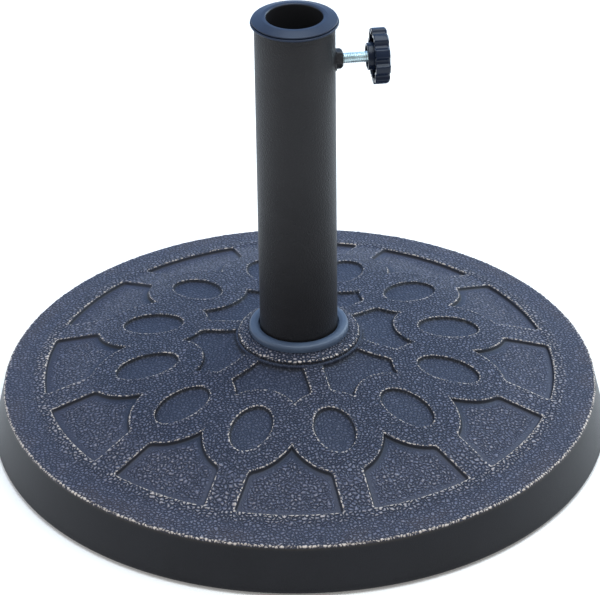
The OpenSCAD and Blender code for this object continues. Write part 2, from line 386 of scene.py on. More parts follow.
def moulded_plastic(name, colour, lighter, roughness, specular=0.5, bore_shade_within=0):
    """Satin plastic with a fine moulded texture and a slow change of tone, and near-black painted shade within a
    radius in mm, down the bore.
    """
    n = Nodes(name)
    place = n.place()
    fine = n.noise(place, 0.5, 2, 0.6)
    cloud = n.noise(place, 18, 2, 0.5)
    tone = n.mix(n.step(cloud, 0.3, 0.7), colour, lighter)
    # Painted shade: the plastic turns near-black inside the given radius, so the bore reads as a dark hole
    tone = n.mix(n.math("LESS_THAN", n.radius(place), bore_shade_within * MM), tone, (0.014, 0.0135, 0.0145))
    rough = n.plus(n.times(cloud, 0.10), roughness - 0.05)
    return n.surface(Base_Color=tone, Roughness=rough, Specular_IOR_Level=specular, Normal=n.bump(fine, 0.03))


def zinc(name, colour, roughness):
    """Plated steel, a little uneven and darker in patches."""
    n = Nodes(name)
    place = n.place()
    cloud = n.noise(place, 6, 3, 0.6)
    tone = n.mix(n.step(cloud, 0.3, 0.7), [c * 0.8 for c in colour], colour)
    rough = n.plus(n.times(cloud, 0.15), roughness - 0.07)
    normal = n.bump(n.noise(place, 0.4, 2), 0.02)
    return n.surface(Base_Color=tone, Metallic=1.0, Roughness=rough, Normal=normal)


def concrete():
    """Rough grey concrete with small pits."""
    n = Nodes("concrete_material")
    place = n.place()
    grit = n.noise(place, 1.6, 5, 0.65)
    cloud = n.noise(place, 60, 4, 0.6)
    tone = n.mix(n.step(cloud, 0.3, 0.7), (0.25, 0.245, 0.235), (0.37, 0.36, 0.34))
    pits = n.add("TexVoronoi", Vector=place, Scale=1 / (7 * MM))
    pit = n.step(pits.outputs["Distance"], 0.06, 0.16)
    tone = n.mix(pit, (0.12, 0.118, 0.112), tone)
    height = n.plus(n.times(grit, 0.4), pit)
    return n.surface(Base_Color=tone, Roughness=0.9, Specular_IOR_Level=0.3, Normal=n.bump(height, 0.5))


def rubber():
    """Matt black rubber."""
    n = Nodes("rubber_material")
    place = n.place()
    fine = n.noise(place, 0.6, 3, 0.6)
    tone = n.mix(n.step(fine, 0.3, 0.7), (0.014, 0.014, 0.015), (0.024, 0.024, 0.026))
    return n.surface(Base_Color=tone, Roughness=0.8, Specular_IOR_Level=0.3, Normal=n.bump(fine, 0.05))


def nylon():
    """Natural nylon, slightly translucent."""
    n = Nodes("nylon_material")
    fine = n.noise(n.place(), 0.8, 2, 0.5)
    tone = n.mix(fine, (0.62, 0.60, 0.52), (0.74, 0.72, 0.64))
    return n.surface(Base_Color=tone, Roughness=0.45, Subsurface_Weight=0.1, Normal=n.bump(fine, 0.02))


# ---------------------------------------------------------------- mesh helpers
def new_object(name, points_mm, faces, sharp_degrees=40):
    """A mesh object from points in mm, smooth except over edges sharper than sharp_degrees."""
    mesh = bpy.data.meshes.new(name)
    mesh.from_pydata((np.asarray(points_mm, float) * MM).tolist(), [], faces)
    mesh.update()
    mesh.shade_smooth()
    mesh.set_sharp_from_angle(angle=math.radians(sharp_degrees))
    obj = bpy.data.objects.new(name, mesh)
    scene.collection.objects.link(obj)
    return obj


def rounded(corners, steps=5):
    """A closed outline through (x, y, radius) corners, each rounded to its radius."""
    points = []
    for i, (x, y, radius) in enumerate(corners):
        here = np.array((x, y), float)
        if radius <= 0:
            points.append(tuple(here))
            continue
        before = np.array(corners[i - 1][:2]) - here
        after = np.array(corners[(i + 1) % len(corners)][:2]) - here
        room = 0.49 * min(np.linalg.norm(before), np.linalg.norm(after))
        before, after = before / np.linalg.norm(before), after / np.linalg.norm(after)
        half = math.acos(max(-1, min(1, float(before @ after)))) / 2
        cut = min(radius / math.tan(half), room)
        middle = (before + after) / np.linalg.norm(before + after)
        centre = here + middle * cut / math.cos(half)
        start, end = here + before * cut - centre, here + after * cut - centre
        a0 = math.atan2(start[1], start[0])
        turn = (math.atan2(end[1], end[0]) - a0 + math.pi) % (2 * math.pi) - math.pi
        size = np.linalg.norm(start)
        for k in range(steps + 1):
            a = a0 + turn * k / steps
            points.append((centre[0] + size * math.cos(a), centre[1] + size * math.sin(a)))
    return points


def ring_faces(first, second, count, flip=False):
    """Quads between two rings of count points, which start at index first and second."""
    faces = []
    for k in range(count):
        j = (k + 1) % count
        quad = (first + k, first + j, second + j, second + k)
        faces.append(quad[::-1] if flip else quad)
    return faces


def vertex_places(obj):
    """Places of an object's vertices, one row each."""
    flat = np.zeros(len(obj.data.vertices) * 3)
    obj.data.vertices.foreach_get("co", flat)
    return flat.reshape(-1, 3) / MM


def noise_at(places, size_mm):
    return np.array([noise.noise(Vector(p) / size_mm) for p in places])


def face_outwards(obj, merge_mm=0):
    """Points all the faces outwards, after merging the points that are closer than merge_mm."""
    mesh = bmesh.new()
    mesh.from_mesh(obj.data)
    if merge_mm:
        bmesh.ops.remove_doubles(mesh, verts=mesh.verts, dist=merge_mm * MM)
    bmesh.ops.recalc_face_normals(mesh, faces=mesh.faces)
    mesh.to_mesh(obj.data)
    mesh.free()


def hex_turn(angles):
    """Angle from the middle of the nearest of a hexagon's six flats."""
    return (angles + math.pi / 6) % (math.pi / 3) - math.pi / 6


def lathe(name, outline, segments, radius_at=None, sharp_degrees=40):
    """A closed solid from a closed (radius, height) outline that runs anticlockwise, turned round +Z.

    radius_at(i, radius, angles) can give the ring of outline point i another shape than a circle.
    """
    points, faces = [], []
    angles = np.linspace(0, 2 * math.pi, segments, endpoint=False)
    for i, (r, z) in enumerate(outline):
        radius = np.full(segments, r) if radius_at is None else radius_at(i, r, angles)
        points.extend(zip(radius * np.cos(angles), radius * np.sin(angles), np.full(segments, z)))
    for i in range(len(outline)):
        j = (i + 1) % len(outline)
        faces += ring_faces(i * segments, j * segments, segments)
    return new_object(name, points, faces, sharp_degrees)


def along_screw(obj, x_mm):
    """Lays a piece that was made along +Z on the clamp screw's axis, its origin x_mm from the tube's axis."""
    turn = Matrix.Translation((x_mm * MM, 0, SCREW_Z * MM)) @ Matrix.Rotation(math.pi / 2, 4, "Y")
    obj.data.transform(turn)
    return obj


def dress(obj, material):
    """Gives a piece its material."""
    obj.data.materials.clear()
    obj.data.materials.append(material)
    return obj


# ---------------------------------------------------------------- cast base
RIM_R = 217.2
RIM_Z = 35.9
EDGE_ROUND = 2.0
TOP_R = RIM_R - EDGE_ROUND
SHELL_T = 7.0
PETALS = 12
PHASE = math.radians(35.3)
PETAL_CENTRE, PETAL_LONG, PETAL_WIDE = 113.0, 41.6, 33.9
OVAL_LONG, OVAL_WIDE = 22.8, 14.3
PANEL_R, OUTER_SPOKE, INNER_SPOKE = 186.4, 10.9, 7.2
RIDGE_R = 196.0
RELIEF = 2.1
BOSS_WALL_R = 46.2
LEDGE_R = 44.4
SEAT_R = 36.4
NECK_R_FROM_TUBE, NECK_Z = 6.4, 56
SOCKET_GAP, SOCKET_FLOOR_T = 0.4, 5
ANCHOR_HOLE_R = 6.75
HUB_SEGMENTS = 192
RIM_SEGMENTS = 960

# Surface of the raised pattern as (radius, height), on past the rim so that the curve ends smoothly
DOME = np.array([(BOSS_WALL_R, 71.2), (54, 69.3), (70, 66.9), (95, 63.6), (127.3, 58.4), (152.5, 51.7),
                 (170, 46), (PANEL_R, 40.8), (RIDGE_R, 39.2), (208, 37.4), (TOP_R, RIM_Z), (225, 34.2)])

# The boss, from the dome over a small ledge up to the seat of the collar
BOSS = [(46.15, 70.2), (46.0, 71.4), (45.7, 71.9), (45.2, 72.15), (44.8, 72.2), (44.5, 72.4), (LEDGE_R, 72.9),
        (44.3, 73.8), (44.05, 74.3), (43.5, 74.7), (42.6, 75.0), (40.7, 75.8), (38.4, 76.6), (SEAT_R, SEAT_Z)]

# Level lines of the hollows that the mesh follows, from the raised pattern down to a hollow's floor
LEVELS = (-2.6, -1.7, -1.0, -0.5, -0.1, 0.35, 0.8, 1.25, 2.1)
LINE_PITCH = 1.2
RING_PITCH = 2.0
GRID_PITCH = 2.5


def smoothstep(low, high, value):
    """0 below low and 1 above high; the other way round when low is the larger."""
    t = np.clip((value - low) / (high - low), 0, 1)
    return t * t * (3 - 2 * t)


def bell(value, centre, width):
    """1 at the centre, falling softly to 0 on both sides."""
    return np.exp(-(((value - centre) / width) ** 2))


def soft_min(a, b, k):
    """The smaller of a and b, with the corner between them rounded over k."""
    h = np.clip(0.5 + 0.5 * (b - a) / k, 0, 1)
    return b + (a - b) * h - k * h * (1 - h)


def monotone_curve(table, x):
    """A smooth curve through the table's points, with no overshoot between them."""
    xs, ys = table[:, 0], table[:, 1]
    slope = np.diff(ys) / np.diff(xs)
    inner = 2 * slope[1:] * slope[:-1] / (slope[1:] + slope[:-1])
    tangent = np.concatenate([[slope[0]], inner, [slope[-1]]])
    i = np.clip(np.searchsorted(xs, x) - 1, 0, len(xs) - 2)
    h = xs[i + 1] - xs[i]
    t = (x - xs[i]) / h
    return ((1 + 2 * t) * (1 - t) ** 2 * ys[i] + t * (1 - t) ** 2 * h * tangent[i]
            + t * t * (3 - 2 * t) * ys[i + 1] + t * t * (t - 1) * h * tangent[i + 1])


def ellipse_gap(u, v, long, wide):
    """Distance from an ellipse's edge, negative inside; close to exact near the edge."""
    f = np.maximum(np.sqrt((u / long) ** 2 + (v / wide) ** 2), 0.05)
    return (f - 1) * f / np.sqrt((u / long**2) ** 2 + (v / wide**2) ** 2 + 1e-9)


def ornament(x, y):
    """How far inside a panel, an inner cell and an oval each point is, negative on the raised pattern."""
    r = np.hypot(x, y)
    far, corner = 1e3, 2.6
    petals = np.full(np.shape(x), far)
    ovals, outer_spokes, inner_spokes = petals.copy(), petals.copy(), petals.copy()
    for k in range(PETALS):
        a = PHASE + k * 2 * math.pi / PETALS
        along, across = x * math.cos(a) + y * math.sin(a), y * math.cos(a) - x * math.sin(a)
        petals = np.minimum(petals, ellipse_gap(along - PETAL_CENTRE, across, PETAL_LONG, PETAL_WIDE))
        ovals = np.minimum(ovals, ellipse_gap(along - PETAL_CENTRE, across, OVAL_LONG, OVAL_WIDE))
        beside = np.where(along > 0, abs(across), far)
        outer_spokes = np.minimum(outer_spokes, beside - OUTER_SPOKE)
        if k % 2 == 0:
            inner_spokes = np.minimum(inner_spokes, beside - INNER_SPOKE)
    panel = soft_min(soft_min(petals, outer_spokes, corner), PANEL_R - r, corner)
    panel = np.minimum(panel, r - PETAL_CENTRE)
    cell = np.minimum(soft_min(petals, inner_spokes, corner), PETAL_CENTRE - r)
    return panel, cell, -ovals


def hollow_depth(x, y):
    """How far inside any hollow each point is."""
    panel, cell, oval = ornament(x, y)
    return np.maximum(np.maximum(panel, cell), oval)


def top_height(x, y):
    """Height of the cast top: the dome, less the hollows, plus edge lips, a ridge and a rim."""
    r, inside = np.hypot(x, y), hollow_depth(x, y)
    z = monotone_curve(DOME, r)
    z = z - RELIEF * smoothstep(-0.25, 1.15, inside) + 0.28 * bell(inside, -1.2, 0.9)
    ridge = smoothstep(PANEL_R - 0.5, PANEL_R + 1.5, r) * smoothstep(RIDGE_R + 1.5, RIDGE_R - 2.5, r)
    return z + 0.55 * ridge + 0.35 * smoothstep(RIM_R - 7, RIM_R - 3.5, r)


def contour(field, centre, level):
    """Points spaced evenly along a hollow's level line, found on rays from a centre inside the hollow."""
    ray_count, reach, stride, halvings = 540, 90, 0.75, 14
    rays = np.linspace(0, 2 * math.pi, ray_count, endpoint=False)
    dx, dy = np.cos(rays), np.sin(rays)
    steps = np.arange(0, reach, stride)
    depth = field(centre[0] + np.outer(steps, dx), centre[1] + np.outer(steps, dy))
    first = np.argmax(depth < level, axis=0)
    near, far = steps[first - 1], steps[first]
    for _ in range(halvings):
        middle = (near + far) / 2
        inside = field(centre[0] + middle * dx, centre[1] + middle * dy) > level
        near, far = np.where(inside, middle, near), np.where(inside, far, middle)
    x, y = centre[0] + near * dx, centre[1] + near * dy
    x, y = np.append(x, x[0]), np.append(y, y[0])
    run = np.concatenate([[0], np.cumsum(np.hypot(np.diff(x), np.diff(y)))])
    even = np.linspace(0, run[-1], round(run[-1] / LINE_PITCH) + 1)[:-1]
    return np.stack([np.interp(even, run, x), np.interp(even, run, y)], 1)


def turned_copies(points, count):
    """The points, turned to count even places round the axis."""
    for k in range(count):
        c, s = math.cos(2 * math.pi * k / count), math.sin(2 * math.pi * k / count)
        yield points @ np.array([[c, s], [-s, c]])


def circle(radius, count, start=0.0):
    """Evenly spaced points of a circle round the axis, from a start angle in radians."""
    angles = start + np.linspace(0, 2 * math.pi, count, endpoint=False)
    return np.stack([radius * np.cos(angles), radius * np.sin(angles)], 1)


def grid_points(rings):
    """Points of an even triangular grid, wherever no level line or ring is near."""
    rows = np.arange(-TOP_R, TOP_R, GRID_PITCH * 0.866)
    columns = np.arange(-TOP_R, TOP_R, GRID_PITCH)
    x, y = np.meshgrid(columns, rows)
    x = x + (np.arange(len(rows)) % 2 * GRID_PITCH / 2)[:, None]
    r, depth = np.hypot(x, y), hollow_depth(x, y)
    free = (depth < LEVELS[0] - 1.1) | (depth > LEVELS[-1] + 1.1)
    free &= (r > BOSS_WALL_R + 2.1) & (r < TOP_R - 1)
    for ring in rings:
        free &= abs(r - ring) > 0.9
    return np.stack([x[free], y[free]], 1)


def ornament_sheet():
    """Flat triangles of the top between boss and rim, with edges along every level line of the hollows."""
    half_pitch = math.pi / PETALS
    hollows = (
        # which of ornament's fields, radius and angle of a point inside one hollow, copies
        (0, 163, PHASE + half_pitch, PETALS),
        (1, 68, PHASE + 2 * half_pitch, PETALS // 2),
        (2, PETAL_CENTRE, PHASE, PETALS),
    )
    rim, boss = circle(TOP_R, RIM_SEGMENTS), circle(BOSS_WALL_R, HUB_SEGMENTS)
    loops = [rim, boss]
    for which, radius, angle, copies in hollows:
        centre = (radius * math.cos(angle), radius * math.sin(angle))
        for level in LEVELS:
            line = contour(lambda x, y: ornament(x, y)[which], centre, level)
            loops += list(turned_copies(line, copies))
    rings = (190.5, 193, 194.8, 196.4, 198, RIM_R - 6.5, RIM_R - 4.8, RIM_R - 3.4)
    loops += [circle(r, round(r * 2 * math.pi / RING_PITCH), 0.3) for r in rings]

    points, edges, count = [], [], 0
    for loop in loops:
        keep = (loop is boss) | (np.hypot(loop[:, 0], loop[:, 1]) > BOSS_WALL_R + 0.4)
        index = np.cumsum(keep) - 1 + count
        n = len(loop)
        edges += [(index[i], index[(i + 1) % n]) for i in range(n) if keep[i] and keep[(i + 1) % n]]
        points.append(loop[keep])
        count += int(keep.sum())
    points = np.concatenate(points + [grid_points(rings)])
    flat, _, faces, *_ = delaunay_2d_cdt([Vector(p) for p in points], edges, [], 1, 1e-4)
    flat = np.array([tuple(p) for p in flat])
    on_boss = np.hypot(flat[:, 0], flat[:, 1]) < BOSS_WALL_R + 0.05
    faces = [tuple(f) for f in faces if not all(on_boss[i] for i in f)]
    return flat, faces


def base_casting():
    """The whole shell as one closed mesh: ornamental top, boss, socket, side, bottom lip and inside."""
    flat, faces = ornament_sheet()
    points = list(zip(flat[:, 0], flat[:, 1], top_height(flat[:, 0], flat[:, 1])))

    def ring(r, z, segments):
        x, y = circle(r, segments).T
        z = top_height(x, y) if z is None else np.full(segments, z)
        if LEDGE_R + 0.2 < r < BOSS_WALL_R:
            z = np.maximum(z, top_height(x, y) + 0.05)
        points.extend(zip(x, y, z))
        return len(points) - segments

    def band(rings, segments, flip):
        previous = None
        for r, z in rings:
            first = ring(r, z, segments)
            if previous is not None:
                faces.extend(ring_faces(previous, first, segments, flip))
            previous = first
        return previous

    socket_r, neck_r = TUBE_R + SOCKET_GAP, TUBE_R + NECK_R_FROM_TUBE
    under_socket = TUBE_FOOT - SOCKET_FLOOR_T
    socket = [(socket_r + 0.3, SEAT_Z), (socket_r, SEAT_Z - 0.3), (socket_r, TUBE_FOOT),
              (ANCHOR_HOLE_R, TUBE_FOOT), (ANCHOR_HOLE_R, under_socket), (neck_r, under_socket),
              (neck_r, NECK_Z)]
    ceiling = [(r, z - SHELL_T - RELIEF) for r, z in DOME if 60 < r < RIM_R - SHELL_T]
    last_hub = band([(BOSS_WALL_R, None)] + BOSS + socket + ceiling, HUB_SEGMENTS, flip=True)

    edge = [(TOP_R + EDGE_ROUND * math.sin(a), RIM_Z + 0.35 - EDGE_ROUND * (1 - math.cos(a)))
            for a in np.radians((15, 35, 55, 75, 90))]
    draft = (BASE_R - RIM_R) / (RIM_Z - EDGE_ROUND - FOOT_PROUD)
    drops = (0.3, 0.7, 1.4, 2.6, 4.5, 7, 11, 16, 21, 26, 29.5)
    side = [(RIM_R + draft * drop, RIM_Z - EDGE_ROUND - drop) for drop in drops]
    lip = [(BASE_R - 0.15, FOOT_PROUD + 1.2), (BASE_R - 0.6, FOOT_PROUD + 0.35), (BASE_R - 1.5, FOOT_PROUD),
           (BASE_R - SHELL_T, FOOT_PROUD)]
    inner_wall_top = [(RIM_R - SHELL_T, RIM_Z - SHELL_T - 1)]
    last_rim = band([(TOP_R, None)] + edge + side + lip + inner_wall_top, RIM_SEGMENTS, flip=False)
    ratio = RIM_SEGMENTS // HUB_SEGMENTS
    for k in range(HUB_SEGMENTS):
        j = (k + 1) % HUB_SEGMENTS
        fine = [last_rim + (k * ratio + i) % RIM_SEGMENTS for i in range(ratio + 1)]
        faces.append(tuple(fine[::-1] + [last_hub + k, last_hub + j]))

    obj = new_object("base_casting", points, faces, 50)
    face_outwards(obj, merge_mm=0.02)
    roughen(obj)
    paint_base(obj)
    obj.data.shade_smooth()
    return obj


def roughen(obj):
    """Small unevenness of the casting: slow waves on the top and a ragged outer edge."""
    co = vertex_places(obj)
    r, z = np.hypot(co[:, 0], co[:, 1]), co[:, 2].copy()
    away_from_boss = smoothstep(BOSS_WALL_R + 3, BOSS_WALL_R + 10, r) * (z > 30)
    edge = smoothstep(RIM_R - 6, RIM_R - 1.5, r) * smoothstep(33.4, 35.0, z)
    slow, quick = noise_at(co, 28), noise_at(co, 2.6)
    crest = smoothstep(0.0, 0.5, quick)
    waves = 0.16 * slow + 0.10 * quick * (1 - edge)
    outwards = co[:, :2] / np.maximum(r, 1)[:, None]
    co[:, 2] += away_from_boss * waves + edge * (0.22 * crest - 0.10)
    co[:, :2] += outwards * (edge * (0.18 * crest - 0.08))[:, None]
    obj.data.vertices.foreach_set("co", (co * MM).ravel())
    obj.data.update()


def paint_base(obj):
    """Sets the attributes that the resin's material reads, each from 0 to about 1.

    wear is how far the bronze shows, grain how high the pebbles stand and coarse how large they are;
    the painted shade attribute darkens corners, the feet of walls and the boss under the collar, and side is the
    smooth outer wall.
    """
    co = vertex_places(obj)
    x, y, z = co.T
    r = np.hypot(x, y)
    on_boss = (r < BOSS_WALL_R - 0.02) & (z > 60)
    panel, cell, oval = (np.where(on_boss, -10, field) for field in ornament(x, y))
    inside = np.maximum(np.maximum(panel, cell), oval)
    outer_face = (z > 30) & (r > 20)
    side = np.clip(smoothstep(35.0, 34.4, z) * (r > RIM_R - 1.5) + (z < 30), 0, 1)

    # Zones of the raised pattern
    raised = smoothstep(0.2, -0.3, inside)
    lip = bell(inside, -0.5, 0.5)
    worn_band = bell(inside, -1.8, 1.6)
    ridge = smoothstep(PANEL_R - 0.5, PANEL_R + 1.0, r) * smoothstep(RIDGE_R + 1.2, RIDGE_R - 2, r)
    spokes = raised * smoothstep(150, 166, r) * smoothstep(190, 184, r)
    rim = smoothstep(RIM_R - 2.0, RIM_R - 1.0, r) * smoothstep(34.6, 35.2, z)
    near_rim = smoothstep(RIM_R - 7, RIM_R - 2.5, r) * (z > 34)

    # Zones of the boss
    boss_edge = bell(r, 43.7, 0.7) * (z > 73.6)
    boss_top = smoothstep(36.5, 38.5, r) * (r < 44) * (z > 73.5)
    ledge = smoothstep(44.5, 44.9, r) * (r < BOSS_WALL_R) * (z > 69.6)

    uneven = 0.95 + 0.22 * noise_at(co, 17) - 0.20 * smoothstep(20, 160, y)
    wear = 0.32 * raised + 0.60 * lip + 0.10 * worn_band + 0.18 * ridge + 0.10 * spokes + 0.15 * near_rim
    wear = wear + 0.43 * smoothstep(2.5, 7, panel) + 0.20 * (cell > 1.5) + 0.16 * (oval > 1.5)
    wear = wear * uneven + 0.14 * boss_top + 0.42 * boss_edge - 0.25 * ledge
    wear = np.clip(wear, 0, 0.95) * (1 - rim) + (0.70 + 0.25 * uneven) * rim

    floor_grain = 0.95 * smoothstep(2.5, 7, panel) + 0.34 * (oval > 0.5) + 0.42 * (cell > 0.5)
    raised_grain = 0.88 + 0.20 * ridge + 0.15 * spokes - 0.15 * smoothstep(RIDGE_R, RIDGE_R + 4, r)
    raised_grain = raised_grain * (1 - 0.6 * bell(inside, -0.3, 0.9))
    grain = np.where(inside > 0.3, floor_grain, raised_grain * raised) * (1 - 0.75 * ledge) * (1 - side)
    coarse = np.clip(ridge + 0.8 * spokes + 0.35 * smoothstep(2, 6, panel), 0, 1)

    # Painted shade: darkening at the feet of the hollows' walls, in the ledge's corner, on the boss under the
    # collar and at the boss's foot
    hollow_wall = bell(inside, 0.5, 0.65)
    ledge_corner = 0.9 * (abs(r - LEDGE_R) < 0.12) * (z > 72)
    under_collar = 0.6 * bell(r, SEAT_R - 0.2, 0.8) * (z > 72)
    boss_foot = bell(r, BOSS_WALL_R + 0.2, 0.6) * (0.35 + 0.5 * (z < 70.5)) * (z > 60)
    cavity = np.clip(hollow_wall + ledge_corner + under_collar + boss_foot, 0, 1)

    values = {"wear": wear * outer_face, "grain": grain * outer_face, "cavity": cavity * outer_face,
              "side": side, "coarse": coarse}
    for name, value in values.items():
        attribute = obj.data.attributes.new(name, "FLOAT", "POINT")
        attribute.data.foreach_set("value", value.astype(np.float32))


# ---------------------------------------------------------------- tube, collar and cap
TUBE_T = 1.5
COLLAR_R = 36.2
SLEEVE_T, SLEEVE_LEN = 2.3, 50
SKIRT_IN_R, SKIRT_LEN = 24.4, 20


def drilled(obj, x0, x1, radius):
    """Cuts a round hole along the clamp screw's axis, from x0 to x1."""
    cutter = along_screw(lathe("cutter", [(0.01, x0), (radius, x0), (radius, x1), (0.01, x1)], 48), 0)
    cut = obj.modifiers.new("hole", "BOOLEAN")
    cut.object = cutter
    cut.solver = "EXACT"
    depsgraph = bpy.context.evaluated_depsgraph_get()
    mesh = bpy.data.meshes.new_from_object(obj.evaluated_get(depsgraph))
    obj.modifiers.clear()
    old, obj.data = obj.data, mesh
    bpy.data.meshes.remove(old)
    bpy.data.objects.remove(cutter)
    mesh.shade_smooth()
    mesh.set_sharp_from_angle(angle=math.radians(35))
    return obj


def pole_tube():
    """Steel tube with rounded ends and a hole for the clamp screw."""
    inner_r = TUBE_R - TUBE_T
    corners = [(inner_r, TUBE_FOOT, 0.3), (TUBE_R, TUBE_FOOT, 0.3), (TUBE_R, TUBE_TOP, 0.4),
               (inner_r, TUBE_TOP, 0.3)]
    return drilled(lathe("steel_tube", rounded(corners, 3), 160), TUBE_R - 6, TUBE_R + 6, 4.6)


def collar():
    """Ring with a quarter-round shoulder and a groove between its inner lip and the tube."""
    bore, lip = TUBE_R + 0.05, TUBE_R + 0.7
    corners = [(bore, SEAT_Z, 0), (COLLAR_R, SEAT_Z, 0.3), (COLLAR_R, SEAT_Z + 4.6, 4.2),
               (32.0, SEAT_Z + 5.7, 2.8), (lip, SEAT_Z + 5.0, 1.2), (lip, SEAT_Z + 2, 0.2),
               (bore, SEAT_Z + 2, 0)]
    return lathe("collar", rounded(corners, 8), 160, sharp_degrees=60)


def cap():
    """Disc that rises to the pole hole, over a bead, a long sleeve and a skirt that is inside the tube."""
    sleeve_r, skirt_r, groove_r = HOLE_R + SLEEVE_T, TUBE_R - TUBE_T - 0.1, CAP_R - 2.4
    sleeve_foot, skirt_foot, under_disc = TUBE_TOP - SLEEVE_LEN, TUBE_TOP - SKIRT_LEN, TUBE_TOP - 2
    sleeve = [(HOLE_R, sleeve_foot, 0.4), (sleeve_r, sleeve_foot, 0.4), (sleeve_r, under_disc, 0.5)]
    skirt = [(SKIRT_IN_R, under_disc, 0.5), (SKIRT_IN_R, skirt_foot, 0.3), (skirt_r, skirt_foot, 0.5),
             (skirt_r, TUBE_TOP, 0.1)]
    bead = [(CAP_R, TUBE_TOP, 0.7), (CAP_R, TUBE_TOP + 1.5, 0.7)]
    groove = [(groove_r, TUBE_TOP + 1.6, 0.2), (groove_r, TUBE_TOP + 2.1, 0.1)]
    disc = [(CAP_R - 0.8, TUBE_TOP + 2.3, 0.2), (CAP_R - 0.9, TUBE_TOP + 3.1, 0.5),
            (HOLE_R + 3.2, CAP_TOP - 0.05, 2.5), (HOLE_R, CAP_TOP, 1.6)]
    obj = lathe("tube_cap", rounded(sleeve + skirt + bead + groove + disc, 6), 160, sharp_degrees=50)
    return drilled(obj, 15, 25, 5.5)


# ---------------------------------------------------------------- clamp
KNOB_R = 20.0
LOBES = 10
NOTCH_PHASE = math.radians(42.5)
SCREW_R = 4.0
HALF_FLATS = 6.5
PITCH = 1.25


def weld_nut():
    """Hex nut with turned chamfers, sunk into the tube's wall."""
    back = TUBE_R - 0.9
    bore = SCREW_R + 0.05
    outline = [(bore, back), (7.2, back), (7.2, NUT_X - 1.9), (7.0, NUT_X - 1.4), (6.6, NUT_X - 0.8),
               (6.1, NUT_X - 0.25), (5.7, NUT_X), (SCREW_R + 0.8, NUT_X), (bore, NUT_X - 0.7)]

    def hexagonal(_, r, angles):
        return np.minimum(r, HALF_FLATS / np.cos(hex_turn(angles)))

    return along_screw(lathe("hex_nut", outline, 144, hexagonal, 25), 0)


def weld_bead():
    """Uneven fillet of weld round the nut's foot, following the tube."""
    steps, sides = 96, 10
    points, faces = [], []
    for k in range(steps):
        a = 2 * math.pi * k / steps
        reach = 6.3 / math.cos(hex_turn(a))
        size = 1.35 + 0.35 * noise.noise(Vector((math.cos(a), math.sin(a), 0)) * 2.2)
        size *= 1.0 + 0.25 * max(0.0, -math.cos(a))
        for j in range(sides):
            b = 2 * math.pi * j / sides
            out = reach + size * math.cos(b)
            across, up = out * math.sin(a), out * math.cos(a)
            surface = math.sqrt(max(TUBE_R**2 - across**2, 1))
            points.append((surface - 0.15 + 0.75 * size * math.sin(b), across, up))
    for k in range(steps):
        n = (k + 1) % steps
        faces += [(k * sides + j, k * sides + (j + 1) % sides, n * sides + (j + 1) % sides, n * sides + j)
                  for j in range(sides)]
    obj = new_object("weld_bead", points, faces, 180)
    obj.data.transform(Matrix.Translation((0, 0, SCREW_Z * MM)))
    return obj


def clamp_screw():
    """M8 screw: a turned-down tip, a rolled thread to the knob and a hex head inside it."""
    tip, head = low_end("clamp_screw", "x"), high_end("clamp_screw", "x")
    root_r, crest_r, shank_r, tip_r, corner_r = 3.38, 3.98, 3.9, 2.5, 7.4
    tip_end, head_start = tip + 2.95, head - 5.3
    thread_start, thread_end = tip + 3.2, head - 5.6
    profile = [(0.0, root_r), (0.18, root_r), (0.55, crest_r), (0.72, crest_r)]
    turns = int((thread_end - thread_start) / PITCH)
    start = [(tip, 0.02), (tip, 2.2), (tip + 0.3, tip_r), (tip_end, tip_r), (tip_end, 3.3)]
    thread = []
    for t in range(turns * len(profile) + 1):
        share, radius = profile[t % len(profile)]
        thread.append((thread_start + (t // len(profile) + share) * PITCH, radius))
    end = [(thread_end + PITCH, shank_r), (head_start, shank_r),
           (head_start, corner_r), (head - 0.6, corner_r), (head, 6.2), (head, 0.02)]
    helix_from, helix_to = len(start), len(start) + len(thread) - 1

    points, faces = [], []
    segments = 40
    angles = np.linspace(0, 2 * math.pi, segments, endpoint=False)
    for i, (x, radius) in enumerate(start + thread + end):
        shift = PITCH * angles / (2 * math.pi) * (helix_from <= i <= helix_to)
        r = np.full(segments, radius)
        if radius > SCREW_R:
            r = np.minimum(radius, HALF_FLATS / np.cos(hex_turn(angles)))
        points.extend(zip(x + shift, r * np.cos(angles), r * np.sin(angles)))
    for i in range(len(start + thread + end) - 1):
        for k in range(segments):
            j = (k + 1) % segments
            a, b = i * segments, (i + 1) * segments
            if helix_from <= i < helix_to and j == 0:
                up = len(profile) * segments
                if i + 1 + len(profile) <= helix_to:
                    faces.append((a + k, a + up, b + up, b + k))
            else:
                faces.append((a + k, a + j, b + j, b + k))
    obj = new_object("threaded_screw", points, faces, 60)
    face_outwards(obj)
    obj.data.transform(Matrix.Translation((0, 0, SCREW_Z * MM)))
    return obj


